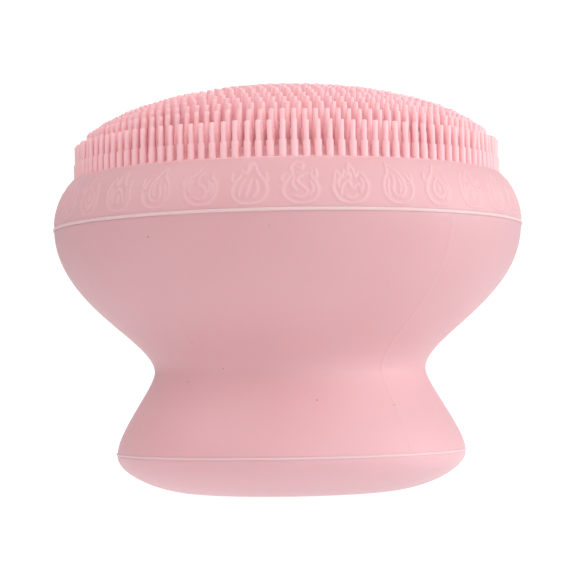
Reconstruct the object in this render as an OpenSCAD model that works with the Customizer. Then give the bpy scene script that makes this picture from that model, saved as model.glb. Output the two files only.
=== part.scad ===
// Hand-held facial cleansing brush of soft silicone.
// A domed crown of stepped bristles sits on a hollow, waisted body, and a shallow cap
// closes the foot. The crown is one moulding, drawn as a rim, a middle and a centre zone
// so that none holds too many bristles. The origin is at the middle of the resting
// face, and +Z is the axis.
// Measures are in millimetres.

/* [Body] */
// Diameter at the upper seam, the widest place
body_d = 62; // [58:0.5:66]
// Height of the upper seam above the resting face
body_seam_h = 34.8; // [33:0.2:37]
// Diameter at the waist
waist_d = 36; // [33:0.1:39]
// Height of the waist
waist_h = 15.9; // [15:0.1:17]
// Diameter at the foot seam
foot_d = 46.1; // [44:0.1:49]
// Height of the foot seam
foot_seam_h = 5.2; // [5:0.1:6]
// Diameter of the flat resting face
rest_d = 26.3; // [22:0.1:30]
// Thickness of the silicone wall
wall = 2.4; // [2.2:0.1:2.6]

/* [Crown] */
// Radius of the rounded shoulder, seen from the side
shoulder_r = 9.7; // [9.4:0.1:10.2]
// How far the highest bristle tips stand above the upper seam
tip_rise = 18.7; // [18.2:0.1:19.4]
// How far the dome of tips falls from its top to its edge
tip_dome_h = 10.8; // [10.4:0.1:11.2]
// How far the edge of that dome lies outside the first ring
tip_dome_margin = 1.2; // [1:0.05:1.6]

/* [Bristles] */
// Length of a bristle above the plate
bristle_len = 4.4; // [4.1:0.05:4.7]
// Length of its thin upper part
tip_len = 2.45; // [2:0.05:2.9]
// Diameter of the thin upper part
tip_d = 0.68; // [0.6:0.02:0.74]
// Diameter of the thick root
root_d = 0.94; // [0.84:0.02:1]
// Distance from one bristle to the next along a ring
bristle_pitch = 1.42; // [1.38:0.02:1.9]
// Distance from one ring to the next
ring_gap = 1.57; // [1.5:0.01:2]

/* [Seams] */
// Length of the lap inside each seam
lap_h = 2; // [1.6:0.1:2.4]
// Thickness of the tongue in each lap
lap_t = 1.1; // [1:0.05:1.2]
// Half the width of a seam bead, and its depth into the joint
bead_w = 0.22; // [0.16:0.02:0.3]
// How far a bead stands out
bead_out = 0.18; // [0.1:0.02:0.24]

/* [Hidden] */
$fn = 128;

body_r = body_d / 2;
waist_r = waist_d / 2;
foot_r = foot_d / 2;
rest_r = rest_d / 2;

// The bristle plate ends on the shoulder, just outside the first ring. It follows the
// dome of the tips at a bristle's length below, rising in level terraces, one to a ring.
ring_inset = 3.15;
first_ring_r = body_r - ring_inset;
rim_margin = 0.6;
rim_r = first_ring_r + rim_margin;
shoulder_mid_r = body_r - shoulder_r;
rim_angle = acos((rim_r - shoulder_mid_r) / shoulder_r);
rim_h = body_seam_h + shoulder_r * sin(rim_angle);
tip_top_h = body_seam_h + tip_rise;
tip_dome_r = first_ring_r + tip_dome_margin;
shoulder_steps = 10;
inner_steps = 10;
inner_gap = 0.3;

// Bristles stand in rings that start at one angle, and the first two rings line up
ring_start = 2.7;
smallest_ring_r = 0.9;
ring_total = 1 + floor((first_ring_r - smallest_ring_r) / ring_gap);
aligned_rings = 2;
root_sunk = 0.5;
bristle_facets = 16;

// The first ring of the middle zone and of the centre zone, counted inwards from 0
middle_ring = 4;
centre_ring = 9;

curve_steps = 14;
bead_steps = 6;
past = 1;

// Cubic curves of the outside, each as [radius, height] points
bell_curve = [
  [body_r, body_seam_h],
  [body_r - 0.2, body_seam_h - 10.1],
  [waist_r, waist_h + 4.3],
  [waist_r, waist_h]
];
flare_curve = [
  [waist_r, waist_h],
  [waist_r, waist_h - 1.9],
  [foot_r, foot_seam_h + 2.8],
  [foot_r, foot_seam_h]
];
bowl_curve = [
  [foot_r, foot_seam_h],
  [foot_r + 0.35, foot_seam_h - 2.7],
  [rest_r + 4, 0],
  [rest_r, 0]
];

function curve_point(c, t) =
  pow(1 - t, 3) * c[0] + 3 * pow(1 - t, 2) * t * c[1] + 3 * (1 - t) * t * t * c[2] + pow(t, 3) * c[3];
function curve_slope(c, t) =
  3 * pow(1 - t, 2) * (c[1] - c[0]) + 6 * (1 - t) * t * (c[2] - c[1]) + 3 * t * t * (c[3] - c[2]);
// The unit vector that points into the wall from a curve drawn downwards
function inward(c, t) =
  let (s = curve_slope(c, t)) [s[1], -s[0]] / norm(s);
// Points along a curve, moved inwards by depth, from step first to the end
function curve_line(c, depth = 0, first = 0) =
  [for (i = [first : curve_steps]) let (t = i / curve_steps) curve_point(c, t) + depth * inward(c, t)];
function backwards(line) = [for (i = [len(line) - 1 : -1 : 0]) line[i]];

function arc_point(radius, angle) =
  [shoulder_mid_r + radius * cos(angle), body_seam_h + radius * sin(angle)];
function ring_r(k) = first_ring_r - k * ring_gap;
function ring_count(k) = round(2 * PI * ring_r(k < aligned_rings ? 0 : k) / bristle_pitch);
function ring_phase(k) = k < aligned_rings ? 0 : (k % 2) / 2;
function tip_h(r) = tip_top_h - tip_dome_h * (1 - sqrt(1 - pow(r / tip_dome_r, 2)));
function terrace_r(k) = k == 0 ? rim_r : ring_r(k) + ring_gap / 2;
function terrace_h(k) = k == 0 ? rim_h : tip_h(ring_r(k)) - bristle_len;
function terrace_end(k) = k == ring_total - 1 ? 0 : terrace_r(k + 1);
// The stepped outline of the terraces from ring first to ring last, inwards
function terraces(first, last) =
  [for (k = [first : last], r = [terrace_r(k), terrace_end(k)]) [r, terrace_h(k)]];
// The underside of the plate between two radii
function plate_under(from_r, to_r) = [
  for (i = [0 : inner_steps])
    let (r = from_r + (to_r - from_r) * i / inner_steps) [r, tip_h(r) - bristle_len - wall]
];

// One bristle with a thick root and a thin tip
module bristle(foot_h, end_h) {
  step_h = end_h - tip_len;
  root_r = root_d / 2;
  tip_r = tip_d / 2;
  rotate_extrude($fn = bristle_facets)
    polygon([
      [0, foot_h - root_sunk],
      [root_r, foot_h - root_sunk],
      [root_r, step_h],
      [tip_r, step_h],
      [tip_r, end_h],
      [0, end_h]
    ]);
}

module bristle_ring(k) {
  r = ring_r(k);
  count = ring_count(k);
  for (i = [0 : count - 1])
    rotate([0, 0, ring_start + (i + ring_phase(k)) * 360 / count])
      translate([r, 0, 0]) bristle(terrace_h(k), tip_h(r));
}

// A tube that fills the lap inside a seam
module lap_tongue(seam_r, low_h) {
  translate([0, 0, low_h])
    difference() {
      cylinder(r = seam_r - wall + lap_t, h = lap_h);
      translate([0, 0, -past]) cylinder(r = seam_r - wall, h = lap_h + 2 * past);
    }
}

// The groove that a bead fills, cut into both pieces that meet at a seam
module seam_groove(seam_r, seam_h) {
  rotate_extrude()
    polygon([
      [seam_r - bead_w, seam_h],
      [seam_r + bead_w, seam_h - 2 * bead_w],
      [seam_r + bead_w, seam_h + 2 * bead_w]
    ]);
}

module seam_bead(seam_r, seam_h) {
  bulge = [
    for (i = [0 : bead_steps])
      let (a = 180 * i / bead_steps) [seam_r + bead_out * sin(a), seam_h - bead_w * cos(a)]
  ];
  rotate_extrude() polygon(concat([[seam_r - bead_w, seam_h]], bulge));
}

// Shoulder and the outer zone of the domed plate, with its rings of bristles
module crown_rim() {
  zone_r = terrace_r(middle_ring);
  inner_r = shoulder_r - wall;
  shoulder = [for (i = [0 : shoulder_steps - 1]) arc_point(shoulder_r, rim_angle * i / shoulder_steps)];
  inner_arc = [for (i = [shoulder_steps : -1 : 0]) arc_point(inner_r, rim_angle * i / shoulder_steps)];
  color([0.95, 0.73, 0.76]) {
    difference() {
      rotate_extrude()
        polygon(
          concat(
            shoulder,
            terraces(0, middle_ring - 1),
            plate_under(zone_r, inner_arc[0][0] - inner_gap),
            inner_arc
          )
        );
      seam_groove(body_r, body_seam_h);
    }
    lap_tongue(body_r, body_seam_h - lap_h);
    for (k = [0 : middle_ring - 1]) bristle_ring(k);
  }
}

// One zone of the domed plate, from ring first inwards to ring last, with its bristles
module plate_zone(first, last) {
  color([0.95, 0.73, 0.76]) {
    rotate_extrude()
      polygon(concat(terraces(first, last), plate_under(terrace_end(last), terrace_r(first))));
    for (k = [first : last]) bristle_ring(k);
  }
}

module crown_middle() {
  plate_zone(middle_ring, centre_ring - 1);
}

module crown_centre() {
  plate_zone(centre_ring, ring_total - 1);
}

// The hollow, waisted wall that is held in the hand
module body_sleeve() {
  outer = concat(curve_line(bell_curve), curve_line(flare_curve, 0, 1));
  inner = concat(curve_line(bell_curve, wall), curve_line(flare_curve, wall, 1));
  color([0.89, 0.68, 0.71])
    difference() {
      rotate_extrude() polygon(concat(outer, backwards(inner)));
      translate([0, 0, body_seam_h - lap_h])
        cylinder(r = body_r - wall + lap_t, h = lap_h + past);
      translate([0, 0, foot_seam_h - past])
        cylinder(r = foot_r - wall + lap_t, h = lap_h + past);
      seam_groove(body_r, body_seam_h);
      seam_groove(foot_r, foot_seam_h);
    }
}

// The shallow bowl that closes the foot and carries the resting face
module base_cap() {
  bowl = curve_line(bowl_curve);
  hollow = curve_line(bowl_curve, wall);
  top = foot_seam_h + past;
  color([0.89, 0.70, 0.73]) {
    difference() {
      rotate_extrude() polygon(concat([[0, foot_seam_h]], bowl, [[0, 0]]));
      rotate_extrude()
        polygon(concat([[0, top], [hollow[0][0], top]], hollow, [[0, wall]]));
      seam_groove(foot_r, foot_seam_h);
    }
    lap_tongue(foot_r, foot_seam_h);
  }
}

// Raised line round the widest place
module upper_seam_bead() {
  color([0.94, 0.81, 0.83]) seam_bead(body_r, body_seam_h);
}

// Raised line round the foot
module lower_seam_bead() {
  color([0.94, 0.81, 0.83]) seam_bead(foot_r, foot_seam_h);
}

crown_rim();
crown_middle();
crown_centre();
body_sleeve();
base_cap();
upper_seam_bead();
lower_seam_bead();
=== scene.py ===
import math

import bpy
import numpy as np
from mathutils import Matrix, Vector


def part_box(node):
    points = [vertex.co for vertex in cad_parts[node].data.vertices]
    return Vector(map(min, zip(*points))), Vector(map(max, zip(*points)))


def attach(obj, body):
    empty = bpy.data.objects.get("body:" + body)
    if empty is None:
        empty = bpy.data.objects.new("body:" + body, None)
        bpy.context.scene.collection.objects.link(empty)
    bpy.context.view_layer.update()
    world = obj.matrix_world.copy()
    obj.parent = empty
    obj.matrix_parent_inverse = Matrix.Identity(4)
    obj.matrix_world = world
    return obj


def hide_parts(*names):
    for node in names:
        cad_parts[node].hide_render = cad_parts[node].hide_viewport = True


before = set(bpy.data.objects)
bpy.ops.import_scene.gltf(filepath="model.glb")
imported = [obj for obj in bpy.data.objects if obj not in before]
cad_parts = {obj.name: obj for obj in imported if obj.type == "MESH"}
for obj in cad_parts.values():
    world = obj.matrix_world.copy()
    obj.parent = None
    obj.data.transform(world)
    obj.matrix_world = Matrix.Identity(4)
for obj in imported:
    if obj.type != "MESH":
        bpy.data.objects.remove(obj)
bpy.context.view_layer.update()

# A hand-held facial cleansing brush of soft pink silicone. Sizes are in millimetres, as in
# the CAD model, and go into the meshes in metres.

MM = 0.001
rng = np.random.default_rng(11)


# ---------------------------------------------------------------- sizes


def span(node):
    """Lowest and highest corner of a CAD node, in millimetres."""
    low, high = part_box(node)
    return np.array(low) / MM, np.array(high) / MM


upper_low, upper_high = span("upper_seam_bead")
lower_low, lower_high = span("lower_seam_bead")

BEAD_OUT = 0.18
BEAD_W = (upper_high[2] - upper_low[2]) / 2
BODY_R = upper_high[0] - BEAD_OUT
BODY_SEAM_H = (upper_high[2] + upper_low[2]) / 2
FOOT_R = lower_high[0] - BEAD_OUT
FOOT_SEAM_H = (lower_high[2] + lower_low[2]) / 2
TIP_TOP_H = span("crown_centre")[1][2]

# The visible line at the foot is finer than the one at the widest place
FOOT_BEAD_W = 0.15
FOOT_BEAD_OUT = 0.1

WAIST_R = 18.0
WAIST_H = 15.9
REST_R = 13.15
WALL = 2.4

# The tongue that laps inside each seam
LAP_H = 2.0
LAP_T = 1.1

# The shoulder is an arc, from the upper seam up to the rim of the bristle plate
SHOULDER_R = 9.7
SHOULDER_MID_R = BODY_R - SHOULDER_R
FIRST_RING_R = BODY_R - 3.15
RIM_R = FIRST_RING_R + 0.6
RIM_ANGLE = math.acos((RIM_R - SHOULDER_MID_R) / SHOULDER_R)
RIM_H = BODY_SEAM_H + SHOULDER_R * math.sin(RIM_ANGLE)

# The bristle tips lie on a dome, and the plate follows it a bristle's length below
TIP_DOME_H = 10.8
TIP_DOME_R = FIRST_RING_R + 1.2
BRISTLE_LEN = 4.4
TIP_LEN = 2.45
TIP_R = 0.34
ROOT_R = 0.47
ROOT_SUNK = 1.0
EDGE = 0.03
TIP_ROUND = 0.1

# Rings of bristles are numbered inwards from 0, and the outermost ones line up
PITCH = 1.42
RING_GAP = 1.57
RING_TOTAL = 18
ALIGNED_RINGS = 2
RING_START = math.radians(2.7)
MIDDLE_RING = 4
CENTRE_RING = 9

# How far bristles stray from their places, as standard deviations: along the ring, in
# height, and in slope. A few of them lean more.
PLACE_STRAY = 0.03
TIP_STRAY = 0.03
LEAN = 0.011
STRONG_LEAN = 0.03
STRONG_SHARE = 0.03
LEAN_LIMIT = 0.06

# The row of raised flames, drawn up to 4.8 high and 2.1 to each side, then stretched
FLAME_COUNT = 32
FLAME_FIRST = math.radians(-90 + 2.85)
FLAME_LOW = 0.45
FLAME_TALL = 5.9
FLAME_HALF = 2.35
FLAME_WIDTH = 1.08
FLAME_STRETCH = 1.2
RELIEF = 0.1
LINE_HALF = 0.4

# The upright line where the two halves of the grip's mould meet, and the skin's slow wave
MOULD_LINE = math.radians(-50)
MOULD_LINE_OUT = 0.05
MOULD_LINE_HALF = 0.22
WAVE = 0.035


# ---------------------------------------------------------------- curves


def cubic(a, b, c, d, steps):
    """Points and inward unit vectors along a cubic curve of [radius, height] points."""
    a, b, c, d = (np.array(p, float) for p in (a, b, c, d))
    t = np.linspace(0, 1, steps + 1)[:, None]
    points = (1 - t) ** 3 * a + 3 * (1 - t) ** 2 * t * b + 3 * (1 - t) * t**2 * c + t**3 * d
    slope = (1 - t) ** 2 * (b - a) + 2 * (1 - t) * t * (c - b) + t**2 * (d - c)
    slope /= np.linalg.norm(slope, axis=1)[:, None]
    return points, np.stack([slope[:, 1], -slope[:, 0]], axis=1)


def smooth_line(points, steps=14):
    """A curve through the points, rounded between them."""
    p = np.array([points[0], *points, points[-1]], float)
    out = []
    for i in range(1, len(p) - 2):
        for t in np.arange(steps) / steps:
            out.append(
                0.5 * (
                    2 * p[i]
                    + (p[i + 1] - p[i - 1]) * t
                    + (2 * p[i - 1] - 5 * p[i] + 4 * p[i + 1] - p[i + 2]) * t**2
                    + (3 * p[i] - p[i - 1] - 3 * p[i + 1] + p[i + 2]) * t**3
                )
            )
    out.append(p[-2])
    return np.array(out)


def tip_height(r):
    return TIP_TOP_H - TIP_DOME_H * (1 - np.sqrt(1 - (r / TIP_DOME_R) ** 2))


def plate_height(r):
    return tip_height(r) - BRISTLE_LEN


def plate_line(depth, r_start, r_end, steps):
    """[radius, height] points along the plate under the bristles, or this deep inside it."""
    r = np.linspace(r_start, r_end, steps + 1)
    return [tuple(p) for p in np.stack([r, plate_height(r) - depth], axis=1)]


# ---------------------------------------------------------------- meshes


def new_object(name, vertices, faces, material, replaced=()):
    mesh = bpy.data.meshes.new(name)
    mesh.from_pydata((np.asarray(vertices) * MM).tolist(), [], faces)
    mesh.validate()
    mesh.polygons.foreach_set("use_smooth", [True] * len(mesh.polygons))
    mesh.materials.append(material)
    obj = bpy.data.objects.new(name, mesh)
    bpy.context.collection.objects.link(obj)
    if replaced:
        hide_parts(*replaced)
    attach(obj, "root")
    return obj


def mark_sharp(obj, degrees):
    """Splits the shading where faces meet at more than this angle."""
    bpy.context.view_layer.objects.active = obj
    obj.select_set(True)
    bpy.ops.object.shade_smooth_by_angle(angle=math.radians(degrees), keep_sharp_edges=True)
    obj.select_set(False)


def ring_points(radius, height, angles):
    radius = np.broadcast_to(radius, angles.shape)
    height = np.broadcast_to(height, angles.shape)
    return np.stack([radius * np.cos(angles), radius * np.sin(angles), height], axis=1)


def revolve(rings, closed):
    """Joins rings of points into one skin. Each ring is an array of points, and a single point
    is a pole. A ring may have several times as many points as the next one, starting at the
    same angle."""
    vertices = np.concatenate(rings)
    starts = np.cumsum([0] + [len(r) for r in rings])
    faces = []
    pairs = [(i, i + 1) for i in range(len(rings) - 1)]
    if closed:
        pairs.append((len(rings) - 1, 0))
    for a, b in pairs:
        na, nb = len(rings[a]), len(rings[b])
        sa, sb = int(starts[a]), int(starts[b])
        if na == 1:
            faces += [[sa, sb + (j + 1) % nb, sb + j] for j in range(nb)]
        elif nb == 1:
            faces += [[sa + j, sa + (j + 1) % na, sb] for j in range(na)]
        else:
            n = min(na, nb)
            ka, kb = na // n, nb // n
            for j in range(n):
                low = [sa + (j * ka + i) % na for i in range(ka + 1)]
                high = [sb + (j * kb + i) % nb for i in range(kb + 1)]
                faces.append(low + high[::-1])
    return vertices, faces


def lathe(profile, segments, closed=True):
    """A skin of revolution from [radius, height] points. A point on the axis becomes a pole."""
    angles = np.arange(segments) * 2 * math.pi / segments
    rings = []
    for r, h in profile:
        if r < 1e-6:
            rings.append(np.array([[0, 0, h]]))
        else:
            rings.append(ring_points(r, h, angles))
    return revolve(rings, closed)


# ---------------------------------------------------------------- materials


def add(tree, kind, **values):
    node = tree.nodes.new(kind)
    for key, value in values.items():
        if key in node.inputs:
            node.inputs[key].default_value = value
        else:
            setattr(node, key, value)
    return node


def silicone(
    name, colour, deep, grain=0.02, specks=True, soak=0.3, sheen=0.12, line_highlight_colour=None
):
    """Soft pigmented silicone: cloudy colour, a satin skin, light that soaks in, a little dust.
    line_highlight_colour is a paler colour painted on the raised lines as a highlight, where the
    mesh marks any."""
    material = bpy.data.materials.new(name)
    material.use_nodes = True
    tree = material.node_tree
    shader = tree.nodes["Principled BSDF"]
    link = tree.links.new
    place = add(tree, "ShaderNodeTexCoord").outputs["Object"]

    cloud = add(tree, "ShaderNodeTexNoise", Scale=70.0, Detail=3.0, Roughness=0.55)
    link(place, cloud.inputs["Vector"])
    tint = add(tree, "ShaderNodeValToRGB")
    tint.color_ramp.elements[0].position = 0.32
    tint.color_ramp.elements[0].color = (*deep, 1)
    tint.color_ramp.elements[1].position = 0.68
    tint.color_ramp.elements[1].color = (*colour, 1)
    link(cloud.outputs["Fac"], tint.inputs["Fac"])
    colour_out = tint.outputs["Color"]

    # Painted highlight: the raised lines marked in the mesh are tinted paler, standing in for the
    # light their faces catch.
    if line_highlight_colour:
        marked = add(tree, "ShaderNodeAttribute", attribute_name="raised")
        pale = add(tree, "ShaderNodeMix", data_type="RGBA")
        pale.inputs["B"].default_value = (*line_highlight_colour, 1)
        link(marked.outputs["Fac"], pale.inputs["Factor"])
        link(colour_out, pale.inputs["A"])
        colour_out = pale.outputs["Result"]

    if specks:
        cells = add(tree, "ShaderNodeTexVoronoi", Scale=250.0, Randomness=1.0)
        link(place, cells.inputs["Vector"])
        dot = add(tree, "ShaderNodeMath", operation="LESS_THAN")
        dot.inputs[1].default_value = 0.027
        link(cells.outputs["Distance"], dot.inputs[0])
        dust = add(tree, "ShaderNodeMix", data_type="RGBA")
        dust.inputs["B"].default_value = (0.36, 0.24, 0.22, 1)
        link(dot.outputs[0], dust.inputs["Factor"])
        link(colour_out, dust.inputs["A"])
        colour_out = dust.outputs["Result"]
    link(colour_out, shader.inputs["Base Color"])

    smear = add(tree, "ShaderNodeTexNoise", Scale=160.0, Detail=5.0, Roughness=0.6)
    link(place, smear.inputs["Vector"])
    satin = add(tree, "ShaderNodeMapRange")
    satin.inputs["To Min"].default_value = 0.43
    satin.inputs["To Max"].default_value = 0.59
    link(smear.outputs["Fac"], satin.inputs["Value"])
    link(satin.outputs["Result"], shader.inputs["Roughness"])

    skin = add(tree, "ShaderNodeTexNoise", Scale=2600.0, Detail=2.0, Roughness=0.5)
    link(place, skin.inputs["Vector"])
    bump = add(tree, "ShaderNodeBump", Strength=grain, Distance=0.0002)
    link(skin.outputs["Fac"], bump.inputs["Height"])
    link(bump.outputs["Normal"], shader.inputs["Normal"])

    shader.inputs["IOR"].default_value = 1.41
    shader.inputs["Subsurface Weight"].default_value = soak
    shader.inputs["Subsurface Radius"].default_value = (1.0, 0.35, 0.3)
    shader.inputs["Subsurface Scale"].default_value = 0.0008
    shader.inputs["Sheen Weight"].default_value = sheen
    shader.inputs["Sheen Roughness"].default_value = 0.5
    shader.inputs["Sheen Tint"].default_value = (1.0, 0.93, 0.93, 1)
    return material


body_skin = silicone("body_silicone", (0.705, 0.40, 0.43), (0.695, 0.383, 0.412))
foot_skin = silicone("foot_silicone", (0.70, 0.41, 0.44), (0.69, 0.395, 0.424))
# The crown's raised flame lines carry a paler painted highlight.
crown_skin = silicone(
    "crown_silicone", (0.76, 0.43, 0.46), (0.75, 0.412, 0.44), line_highlight_colour=(0.785, 0.46, 0.49)
)
# Painted light: the bristles' silicone is a lighter copy of the body's pink, lifted to offset the
# shade among the bristles.
lightened_bristle_skin = silicone(
    "bristle_silicone", (0.965, 0.58, 0.612), (0.96, 0.56, 0.592),
    grain=0.01, specks=False, soak=0.2, sheen=0,
)
upper_seam_skin = silicone(
    "upper_seam_silicone", (0.82, 0.555, 0.565), (0.81, 0.54, 0.55), specks=False
)
lower_seam_skin = silicone(
    "lower_seam_silicone", (0.79, 0.51, 0.53), (0.78, 0.495, 0.515), specks=False
)


# ---------------------------------------------------------------- crown

# Lines of each raised flame, as [across, up] points in millimetres
FLAMES = {
    "curl": [
        [(-1.35, 3.3), (-1.25, 2.7), (-1.8, 2.0), (-1.85, 1.1), (-1.0, 0.35), (0.1, 0.15)],
        [(0.1, 0.15), (1.2, 0.35), (1.95, 1.2), (1.75, 2.2), (1.25, 2.9), (1.4, 3.6)],
        [
            (-1.25, 2.7), (-0.8, 3.2), (-1.0, 4.0), (-0.4, 4.65),
            (0.35, 4.35), (0.2, 3.8), (-0.2, 3.9),
        ],
        [(-1.0, 1.0), (0.1, 0.75), (0.75, 1.3), (0.15, 1.95), (-0.35, 2.5), (0.3, 3.1), (1.0, 3.3)],
        [(-1.75, 2.1), (-2.05, 2.8), (-1.5, 3.4)],
        [(1.4, 2.7), (1.85, 3.0), (1.75, 3.8)],
        [(-0.5, 1.5), (-0.9, 2.1), (-0.6, 2.9)],
        [(0.9, 0.9), (1.4, 1.6), (1.1, 2.4)],
    ],
    "crown": [
        [(-1.55, 3.7), (-1.75, 2.6), (-1.95, 1.5), (-1.25, 0.45), (0.0, 0.15)],
        [(0.0, 0.15), (1.3, 0.45), (2.0, 1.6), (1.8, 2.7), (1.15, 3.6)],
        [(-1.55, 3.7), (-0.9, 2.9), (-0.65, 3.7)],
        [(-0.65, 3.7), (-0.2, 3.1), (0.0, 4.6)],
        [(0.0, 4.6), (0.5, 3.6), (0.65, 2.9), (1.15, 3.6)],
        [(-1.15, 1.0), (-0.85, 2.0), (-0.2, 2.4), (0.2, 1.7), (0.9, 2.1), (1.15, 1.2)],
        [(-1.0, 3.0), (-1.4, 2.3), (-1.25, 1.5)],
        [(0.0, 2.5), (0.15, 3.3)],
        [(1.2, 2.8), (1.4, 2.1), (1.2, 1.4)],
        [(-0.7, 0.95), (0.0, 0.65), (0.7, 0.95)],
    ],
    "leaf": [
        [(-0.9, 4.6), (-1.0, 3.5), (-1.6, 2.4), (-1.6, 1.2), (-0.7, 0.35), (0.5, 0.2)],
        [(-0.9, 4.6), (-0.05, 3.8), (0.75, 2.8), (0.9, 1.7), (0.5, 0.95), (-0.25, 0.9)],
        [(-0.25, 0.9), (-0.6, 1.6), (-0.35, 2.5), (-0.5, 3.2)],
        [(0.5, 0.2), (1.5, 0.7), (1.95, 1.8), (1.5, 2.9), (1.05, 3.5)],
        [(1.45, 2.2), (1.95, 2.6), (1.9, 3.4)],
        [(-1.1, 0.9), (-1.2, 1.8), (-0.9, 2.8)],
        [(0.2, 1.3), (0.45, 2.0), (0.15, 2.9)],
    ],
    "drop": [
        [(0.1, 4.7), (-0.6, 3.5), (-1.4, 2.6), (-1.75, 1.5), (-1.1, 0.5), (0.0, 0.2)],
        [(0.0, 0.2), (1.1, 0.5), (1.65, 1.5), (1.5, 2.6), (1.0, 3.7)],
        [(0.0, 3.1), (-0.7, 2.1), (-0.6, 1.3), (0.1, 0.95), (0.8, 1.4), (0.7, 2.3), (0.0, 3.1)],
        [(-1.4, 2.4), (-1.85, 2.9), (-1.6, 3.7)],
        [(0.1, 1.5), (0.0, 2.3)],
        [(1.0, 0.8), (1.3, 1.6), (1.1, 2.5)],
    ],
    "double": [
        [(-1.8, 3.4), (-1.6, 2.4), (-1.85, 1.4), (-1.2, 0.4), (0.0, 0.2)],
        [(-1.8, 3.4), (-1.0, 2.8), (-0.5, 3.5), (-0.6, 4.6)],
        [(-0.6, 4.6), (0.3, 3.9), (0.7, 3.0), (1.2, 4.0)],
        [(1.2, 4.0), (1.75, 3.0), (1.9, 1.8), (1.3, 0.6), (0.0, 0.2)],
        [(-0.85, 1.0), (-0.6, 1.9), (0.15, 2.5), (0.9, 1.9), (0.8, 1.0)],
        [(-1.15, 0.8), (-1.35, 1.7), (-1.1, 2.6)],
        [(1.15, 0.8), (1.4, 1.7), (1.2, 2.7)],
        [(0.0, 1.0), (0.1, 1.9)],
    ],
    "swirl": [
        [
            (0.25, 4.7), (-0.45, 3.8), (-1.3, 3.1), (-1.9, 2.1),
            (-1.8, 1.1), (-0.9, 0.35), (0.3, 0.2),
        ],
        [(0.3, 0.2), (1.25, 0.5), (1.9, 1.4), (1.8, 2.4), (1.3, 3.1), (1.35, 3.9)],
        [(-1.0, 1.15), (-0.1, 0.8), (0.6, 1.2), (0.5, 1.9), (-0.25, 2.4), (-0.35, 3.0), (0.2, 3.6)],
        [(0.6, 1.2), (1.05, 1.9), (0.8, 2.7)],
        [(-1.25, 1.4), (-1.4, 2.2), (-0.9, 2.9)],
        [(-1.85, 1.9), (-2.1, 2.6), (-1.7, 3.3)],
        [(1.3, 1.0), (1.5, 1.8), (1.2, 2.5)],
    ],
    "licks": [
        [(-1.0, 3.9), (-1.05, 3.0), (-1.6, 2.3), (-1.9, 1.2), (-1.2, 0.35), (0.0, 0.15)],
        [(0.0, 0.15), (1.3, 0.4), (1.9, 1.4), (1.6, 2.5), (0.9, 3.4), (0.4, 4.7)],
        [(-1.0, 3.9), (-0.5, 3.3), (-0.1, 3.9), (0.4, 4.7)],
        [(-1.15, 0.9), (-0.95, 1.9), (-0.45, 2.8)],
        [(-0.4, 0.8), (-0.1, 1.8), (0.2, 2.7)],
        [(0.4, 0.8), (0.85, 1.5), (0.7, 2.6)],
        [(-1.65, 2.2), (-2.0, 2.7), (-1.9, 3.4)],
        [(1.6, 2.2), (1.95, 2.7), (1.75, 3.5)],
        [(-0.15, 3.7), (-0.2, 4.4), (0.2, 4.8)],
    ],
}
FLAME_ORDER = [
    ("curl", 1), ("crown", 1), ("leaf", 1), ("drop", 1),
    ("double", -1), ("leaf", -1), ("swirl", 1), ("licks", 1),
]


def flame_height(name, mirror, across, up):
    """Height of the raised lines of one flame at each point, from 0 to 1."""
    height = np.zeros(across.shape)
    for points in FLAMES[name]:
        line = smooth_line(points)
        along = np.linspace(-1, 1, len(line))
        half = LINE_HALF * (1 - 0.6 * along**2)
        away = np.hypot(
            mirror * across[..., None] - FLAME_WIDTH * line[:, 0],
            up[..., None] - FLAME_STRETCH * line[:, 1],
        )
        near = np.clip(1 - away / half, 0, 1).max(axis=-1)
        height = np.maximum(height, near)
    return height**2 * (3 - 2 * height)


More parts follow.
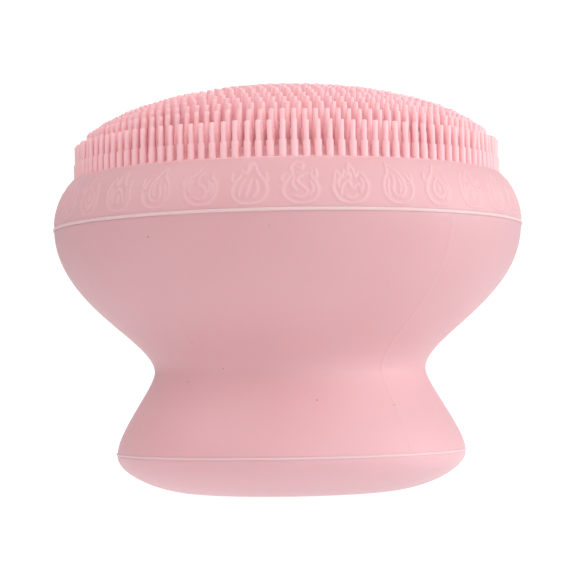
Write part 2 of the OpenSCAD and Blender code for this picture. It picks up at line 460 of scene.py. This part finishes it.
def crown_shell():
    """Shoulder, domed plate and tongue in one closed skin, with the row of raised flames."""
    # Fine columns across each flame and wider ones between. Every seventh carries on past them.
    fine_steps, plain_steps, thinning = 43, 6, 7
    turn = 2 * math.pi / FLAME_COUNT
    flame_r = SHOULDER_MID_R + SHOULDER_R * 0.96
    edge = FLAME_HALF / flame_r
    cell = np.concatenate([
        np.linspace(-edge, edge, fine_steps + 1)[:-1],
        np.linspace(edge, turn - edge, plain_steps + 1)[:-1],
    ])
    fine = np.concatenate([FLAME_FIRST + i * turn + cell for i in range(FLAME_COUNT)])
    coarse = fine[::thinning]

    def arc(radius, length):
        a = length / SHOULDER_R
        return SHOULDER_MID_R + radius * math.cos(a), BODY_SEAM_H + radius * math.sin(a)

    rings = []
    inner_r = SHOULDER_R - WALL
    tongue_r = BODY_R - WALL + LAP_T
    inner_end = RIM_ANGLE * SHOULDER_R * 0.97
    inside = [(0, plate_height(0) - WALL)]
    inside += plate_line(WALL, 1.5, arc(inner_r, inner_end)[0] - 0.3, 14)
    inside += [arc(inner_r, length) for length in np.linspace(inner_end * 0.96, 0, 9)]
    inside += [
        (BODY_R - WALL, BODY_SEAM_H - LAP_H),
        (tongue_r, BODY_SEAM_H - LAP_H),
        (tongue_r, BODY_SEAM_H),
        (BODY_R - BEAD_W, BODY_SEAM_H),
    ]
    for r, h in inside:
        rings.append(np.array([[0, 0, h]]) if r == 0 else ring_points(r, h, coarse))

    # The shoulder's outside, with the flames raised on it. Lengths run up from the seam.
    rim_round = 0.35
    shoulder_end = RIM_ANGLE * SHOULDER_R - rim_round
    flame_top = FLAME_LOW + FLAME_TALL
    lengths = np.concatenate([
        [BEAD_W, 0.32],
        np.linspace(FLAME_LOW - 0.05, flame_top, 57),
        np.linspace(flame_top, shoulder_end, 5)[1:],
    ])
    cell_offset = (fine - FLAME_FIRST + turn / 2) % turn - turn / 2
    which = np.round((fine - FLAME_FIRST - cell_offset) / turn).astype(int) % FLAME_COUNT
    across = np.broadcast_to(cell_offset * flame_r, (len(lengths), len(fine)))
    up = np.broadcast_to((lengths - FLAME_LOW)[:, None], across.shape)
    raised = np.zeros(across.shape)
    for i in range(FLAME_COUNT):
        name, mirror = FLAME_ORDER[i % len(FLAME_ORDER)]
        mine = which == i
        raised[:, mine] = flame_height(name, mirror, across[:, mine], up[:, mine])
    first_raised = sum(len(ring) for ring in rings)
    for row, length in enumerate(lengths):
        a = length / SHOULDER_R
        out = SHOULDER_R + RELIEF * raised[row]
        rings.append(
            ring_points(
                SHOULDER_MID_R + out * math.cos(a), BODY_SEAM_H + out * math.sin(a), fine
            )
        )

    # A small round at the rim, then the plate up to the axis
    start = np.array(arc(SHOULDER_R, shoulder_end))
    corner = np.array([RIM_R, RIM_H])
    landing = corner - np.array([0.3, 0])
    for t in (0.35, 0.7, 1):
        p = (1 - t) ** 2 * start + 2 * (1 - t) * t * corner + t**2 * landing
        rings.append(ring_points(p[0], p[1], coarse))
    for r, h in plate_line(0, RIM_R - 0.5, RIM_R - 6, 12) + plate_line(0, RIM_R - 7.5, 1.5, 12):
        rings.append(ring_points(r, max(h, RIM_H), coarse))
    rings.append(np.array([[0, 0, plate_height(0)]]))

    vertices, faces = revolve(rings, closed=False)
    obj = new_object(
        "crown_shell", vertices, faces, crown_skin,
        ("crown_rim", "crown_middle", "crown_centre"),
    )
    mesh = obj.data
    # The raised lines are marked here for the painted highlight in the crown's material.
    marks = np.zeros(len(vertices))
    marks[first_raised:first_raised + raised.size] = raised.ravel()
    mesh.attributes.new("raised", "FLOAT", "POINT").data.foreach_set("value", marks)

    # The plate under the bristles takes their lightened skin, painted light that lifts the shade
    # between them
    mesh.materials.append(lightened_bristle_skin)
    for face in mesh.polygons:
        x, y, z = face.center / MM
        if math.hypot(x, y) < RIM_R and z > RIM_H - 0.15:
            face.material_index = 1
    mark_sharp(obj, 50)
    return obj


def ring_radius(k):
    return FIRST_RING_R - k * RING_GAP


def ring_count(k):
    around = ring_radius(0 if k < ALIGNED_RINGS else k)
    return round(2 * math.pi * around / PITCH)


def bristle_places(ring_numbers):
    """[x, y, plate height, tip height, lean x, lean y] of each bristle.
    Each leans a little its own way."""
    places = []
    for k in ring_numbers:
        r, count = ring_radius(k), ring_count(k)
        phase = 0 if k < ALIGNED_RINGS else (k % 2) / 2
        for i in range(count):
            a = RING_START + (i + phase) * 2 * math.pi / count + rng.normal(0, PLACE_STRAY) / r
            lean = rng.normal(0, LEAN, 2)
            if rng.random() < STRONG_SHARE:
                lean += rng.normal(0, STRONG_LEAN, 2)
            lean = np.clip(lean, -LEAN_LIMIT, LEAN_LIMIT)
            places.append((
                r * math.cos(a), r * math.sin(a),
                plate_height(r), tip_height(r) + rng.normal(0, TIP_STRAY), *lean,
            ))
    return np.array(places)


def bristles(name, ring_numbers, sides=16):
    """Stepped bristles: a thick root, a sharp step and a thin tip with a rounded end."""
    places = bristle_places(ring_numbers)
    foot, top = places[:, 2], places[:, 3]
    step = top - TIP_LEN
    levels = [
        (ROOT_R, foot - ROOT_SUNK),
        (ROOT_R, step - EDGE),
        (ROOT_R - EDGE, step),
        (TIP_R, step + 0.01),
        (TIP_R, top - TIP_ROUND),
        (TIP_R - EDGE, top - EDGE),
        (TIP_R - TIP_ROUND, top),
    ]
    turn = np.arange(sides) * 2 * math.pi / sides
    rows = []
    for radius, height in levels:
        # A bristle leans more as it rises. At 4 above its foot its mean slope is its lean.
        rise = np.clip(height - foot, 0, None)
        bend = rise * (0.5 + 0.5 * rise / 4)
        x = places[:, 0] + places[:, 4] * bend
        y = places[:, 1] + places[:, 5] * bend
        rows.append(np.stack([
            x[:, None] + radius * np.cos(turn),
            y[:, None] + radius * np.sin(turn),
            np.repeat(height[:, None], sides, axis=1),
        ], axis=-1))
    vertices = np.stack(rows, axis=1)
    size = len(levels) * sides
    one = []
    for low in range(0, size - sides, sides):
        for j in range(sides):
            a, b = low + j, low + (j + 1) % sides
            one.append([a, b, b + sides, a + sides])
    one.append(list(range(size - sides, size)))
    one.append(list(range(sides))[::-1])
    faces = [[v + i * size for v in face] for i in range(len(places)) for face in one]
    # The bristles take the lightened skin, painted light against the shade among them.
    obj = new_object(name, vertices.reshape(-1, 3), faces, lightened_bristle_skin)
    mark_sharp(obj, 35)
    return obj


# ---------------------------------------------------------------- grip and foot


def grip_shell():
    """The hollow, waisted wall, with the faint upright line that the halves of its mould leave."""
    bell, bell_in = cubic(
        (BODY_R, BODY_SEAM_H), (BODY_R - 0.2, BODY_SEAM_H - 10.1),
        (WAIST_R, WAIST_H + 4.3), (WAIST_R, WAIST_H), 60,
    )
    flare, flare_in = cubic(
        (WAIST_R, WAIST_H), (WAIST_R, WAIST_H - 1.9),
        (FOOT_R, FOOT_SEAM_H + 2.8), (FOOT_R, FOOT_SEAM_H), 40,
    )
    outer = np.concatenate([bell, flare[1:]])
    inward = np.concatenate([bell_in, flare_in[1:]])
    upper_lap = (BODY_R - WALL + LAP_T, BODY_SEAM_H - LAP_H)
    lower_lap = (FOOT_R - WALL + LAP_T, FOOT_SEAM_H + LAP_H)
    skin = outer[(outer[:, 1] < BODY_SEAM_H - BEAD_W) & (outer[:, 1] > FOOT_SEAM_H + FOOT_BEAD_W)]
    inner = (outer + WALL * inward)[::3]
    keep = (inner[:, 1] < upper_lap[1] - 0.1) & (inner[:, 1] > lower_lap[1] + 0.1)
    inner = inner[keep][::-1]

    def inner_r(height):
        return float(np.interp(height, inner[:, 1], inner[:, 0]))

    profile = [(BODY_R - BEAD_W, BODY_SEAM_H), (BODY_R - 0.01, BODY_SEAM_H - BEAD_W)]
    first_skin = len(profile)
    profile += [tuple(p) for p in skin]
    last_skin = len(profile)
    profile += [
        (FOOT_R - 0.01, FOOT_SEAM_H + FOOT_BEAD_W),
        (FOOT_R - FOOT_BEAD_W, FOOT_SEAM_H),
        (lower_lap[0], FOOT_SEAM_H),
        lower_lap,
        (inner_r(lower_lap[1]), lower_lap[1]),
    ]
    profile += [tuple(p) for p in inner]
    profile += [
        (inner_r(upper_lap[1]), upper_lap[1]),
        upper_lap,
        (upper_lap[0], BODY_SEAM_H),
    ]
    segments = 288
    angles = np.arange(segments) * 2 * math.pi / segments + MOULD_LINE
    # Columns crowd towards the two mould lines, so that the fine ridge has a true shape
    angles -= 0.38 * np.sin(2 * (angles - MOULD_LINE))
    rings = []
    for i, (r, h) in enumerate(profile):
        radius = np.full(segments, r)
        if first_skin <= i < last_skin:
            for line in (MOULD_LINE, MOULD_LINE + math.pi):
                away = np.abs((angles - line + math.pi) % (2 * math.pi) - math.pi) * r
                radius += MOULD_LINE_OUT * np.exp(-((away / MOULD_LINE_HALF) ** 2))
            radius += WAVE * np.sin(3 * angles + 0.21 * h) * np.sin(0.31 * h + 1.0)
        rings.append(ring_points(radius, h, angles))
    vertices, faces = revolve(rings, closed=True)
    obj = new_object("grip_shell", vertices, faces, body_skin, ("body_sleeve",))
    mark_sharp(obj, 50)
    return obj


def foot_bowl():
    """The shallow bowl that closes the foot, with its tongue and its flat resting face."""
    bowl, inward = cubic(
        (FOOT_R, FOOT_SEAM_H), (FOOT_R + 0.35, FOOT_SEAM_H - 2.7), (REST_R + 4, 0), (REST_R, 0), 36
    )
    skin = bowl[bowl[:, 1] < FOOT_SEAM_H - FOOT_BEAD_W]
    inner = (bowl + WALL * inward)[::3]
    inner = inner[inner[:, 1] < FOOT_SEAM_H - 0.1]
    tongue_r = FOOT_R - WALL + LAP_T
    profile = [(0, 0), (REST_R * 0.5, 0)]
    profile += [tuple(p) for p in skin[::-1]]
    profile += [
        (FOOT_R - 0.01, FOOT_SEAM_H - FOOT_BEAD_W),
        (FOOT_R - FOOT_BEAD_W, FOOT_SEAM_H),
        (tongue_r, FOOT_SEAM_H),
        (tongue_r, FOOT_SEAM_H + LAP_H),
        (FOOT_R - WALL, FOOT_SEAM_H + LAP_H),
        (FOOT_R - WALL, FOOT_SEAM_H),
    ]
    profile += [tuple(p) for p in inner]
    profile += [(REST_R * 0.5, WALL), (0, WALL)]
    vertices, faces = lathe(profile, 256, closed=False)
    obj = new_object("foot_bowl", vertices, faces, foot_skin, ("base_cap",))
    mark_sharp(obj, 50)
    return obj


def seam_bead(name, node, radius, height, half, stand, skin):
    """The pale raised line at a seam, slightly uneven, with a small nub on the left."""
    segments, unevenness = 900, 0.012
    nub_at, nub_out, nub_half = math.radians(-178), 0.1, 0.45
    angles = np.arange(segments) * 2 * math.pi / segments
    waver = sum(
        rng.normal(0, 0.5) * np.sin(n * angles + rng.uniform(0, 6.3)) for n in (3, 5, 9, 14, 23)
    )
    away = np.abs((angles - nub_at + math.pi) % (2 * math.pi) - math.pi) * radius
    nub = nub_out * np.exp(-((away / nub_half) ** 2))
    rings = [ring_points(radius - half, height, angles)]
    for a in np.linspace(0, math.pi, 9):
        out = (stand + unevenness * waver + nub) * math.sin(a)
        up = unevenness * waver * math.sin(a) - half * math.cos(a)
        rings.append(ring_points(radius + out, height + up, angles))
    vertices, faces = revolve(rings, closed=True)
    return new_object(name, vertices, faces, skin, (node,))


# ---------------------------------------------------------------- camera, stage and lights


def camera():
    """Level with the lower part of the brush, tipped up a little and turned by a degree."""
    data = bpy.data.cameras.new("camera")
    data.sensor_width = 36
    data.lens = 117.1
    data.clip_start = 0.01
    data.clip_end = 10
    cam = bpy.data.objects.new("camera", data)
    bpy.context.collection.objects.link(cam)
    tip, roll = math.radians(90 + 2.61), math.radians(-0.95)
    turn = Matrix.Rotation(tip, 4, "X") @ Matrix.Rotation(roll, 4, "Z")
    cam.matrix_world = Matrix.Translation((-0.0001, -0.25, 0.0155)) @ turn
    bpy.context.scene.camera = cam


def backdrop():
    """A sheet that glows white under and behind the brush, and dims in front and to the sides."""
    flat, bend, tall, half = 0.55, 0.35, 1.3, 1.6
    line = [(-1.2, 0.0), (flat, 0.0)]
    for a in np.linspace(0, math.pi / 2, 17)[1:]:
        line.append((flat + bend * math.sin(a), bend * (1 - math.cos(a))))
    line.append((flat + bend, tall))
    vertices = [(x, y, z - 0.0001) for y, z in line for x in (-half, half)]
    faces = [[2 * i, 2 * i + 1, 2 * i + 3, 2 * i + 2] for i in range(len(line) - 1)]
    mesh = bpy.data.meshes.new("backdrop")
    mesh.from_pydata(vertices, [], faces)
    mesh.polygons.foreach_set("use_smooth", [True] * len(mesh.polygons))
    paper = bpy.data.materials.new("white_paper")
    paper.use_nodes = True
    tree = paper.node_tree
    shader = tree.nodes["Principled BSDF"]
    place = add(tree, "ShaderNodeSeparateXYZ")
    tree.links.new(add(tree, "ShaderNodeTexCoord").outputs["Object"], place.inputs[0])
    front = add(tree, "ShaderNodeMapRange", interpolation_type="SMOOTHSTEP")
    for key, value in (("From Min", -0.2), ("From Max", -0.1), ("To Min", 0.35), ("To Max", 1.0)):
        front.inputs[key].default_value = value
    tree.links.new(place.outputs["Y"], front.inputs["Value"])
    across = add(tree, "ShaderNodeMath", operation="ABSOLUTE")
    tree.links.new(place.outputs["X"], across.inputs[0])
    beside = add(tree, "ShaderNodeMath", operation="MULTIPLY_ADD")
    beside.inputs[1].default_value = -0.17
    tree.links.new(place.outputs["Y"], beside.inputs[0])
    tree.links.new(across.outputs[0], beside.inputs[2])
    side = add(tree, "ShaderNodeMapRange", interpolation_type="SMOOTHSTEP")
    for key, value in (("From Min", 0.045), ("From Max", 0.12), ("To Min", 1.0), ("To Max", 0.35)):
        side.inputs[key].default_value = value
    tree.links.new(beside.outputs[0], side.inputs["Value"])
    glow = add(tree, "ShaderNodeMath", operation="MINIMUM")
    tree.links.new(front.outputs["Result"], glow.inputs[0])
    tree.links.new(side.outputs["Result"], glow.inputs[1])
    tree.links.new(glow.outputs[0], shader.inputs["Emission Strength"])
    shader.inputs["Base Color"].default_value = (0.1, 0.1, 0.1, 1)
    shader.inputs["Roughness"].default_value = 0.9
    shader.inputs["Specular IOR Level"].default_value = 0.1
    shader.inputs["Emission Color"].default_value = (1, 1, 1, 1)
    mesh.materials.append(paper)
    obj = bpy.data.objects.new("backdrop", mesh)
    bpy.context.collection.objects.link(obj)


def area_light(name, place, target, size, power, colour=(1, 1, 1)):
    data = bpy.data.lights.new(name, "AREA")
    data.shape = "RECTANGLE"
    data.size, data.size_y = size
    data.energy = power
    data.color = colour
    obj = bpy.data.objects.new(name, data)
    bpy.context.collection.objects.link(obj)
    direction = np.array(target, float) - np.array(place, float)
    obj.rotation_euler = Vector(direction).to_track_quat("-Z", "Y").to_euler()
    obj.location = place


def lights():
    """A pale, even room with soft boxes round the brush, the strongest on its right."""
    world = bpy.data.worlds.new("room")
    world.use_nodes = True
    world.node_tree.nodes["Background"].inputs["Color"].default_value = (1, 1, 1, 1)
    world.node_tree.nodes["Background"].inputs["Strength"].default_value = 0.35
    bpy.context.scene.world = world
    area_light("key", (0.55, -0.25, 0.35), (0, 0, 0.03), (0.6, 0.6), 2.5, (0.95, 1.0, 0.99))
    area_light("front", (0.15, -0.9, 0.35), (0, 0, 0.03), (0.5, 0.5), 2.05)
    area_light("side", (0.7, 0.05, 0.15), (0, 0, 0.03), (0.5, 0.5), 2.0, (0.93, 1.0, 0.99))
    area_light("top", (0, 0.45, 0.7), (0, 0, 0.05), (0.6, 0.6), 2.3)
    area_light("upper_left", (-0.5, -0.25, 0.6), (0, 0, 0.03), (0.5, 0.5), 2.2, (1.0, 0.95, 0.93))


scene = bpy.context.scene
scene.view_settings.view_transform = "Standard"
scene.view_settings.look = "None"
camera()
crown_shell()
bristles("bristles_rim", range(MIDDLE_RING))
bristles("bristles_middle", range(MIDDLE_RING, CENTRE_RING))
bristles("bristles_centre", range(CENTRE_RING, RING_TOTAL))
grip_shell()
foot_bowl()
seam_bead(
    "seam_line_upper", "upper_seam_bead", BODY_R, BODY_SEAM_H,
    BEAD_W, BEAD_OUT - 0.02, upper_seam_skin,
)
seam_bead(
    "seam_line_lower", "lower_seam_bead", FOOT_R, FOOT_SEAM_H,
    FOOT_BEAD_W, FOOT_BEAD_OUT, lower_seam_skin,
)
backdrop()
lights()
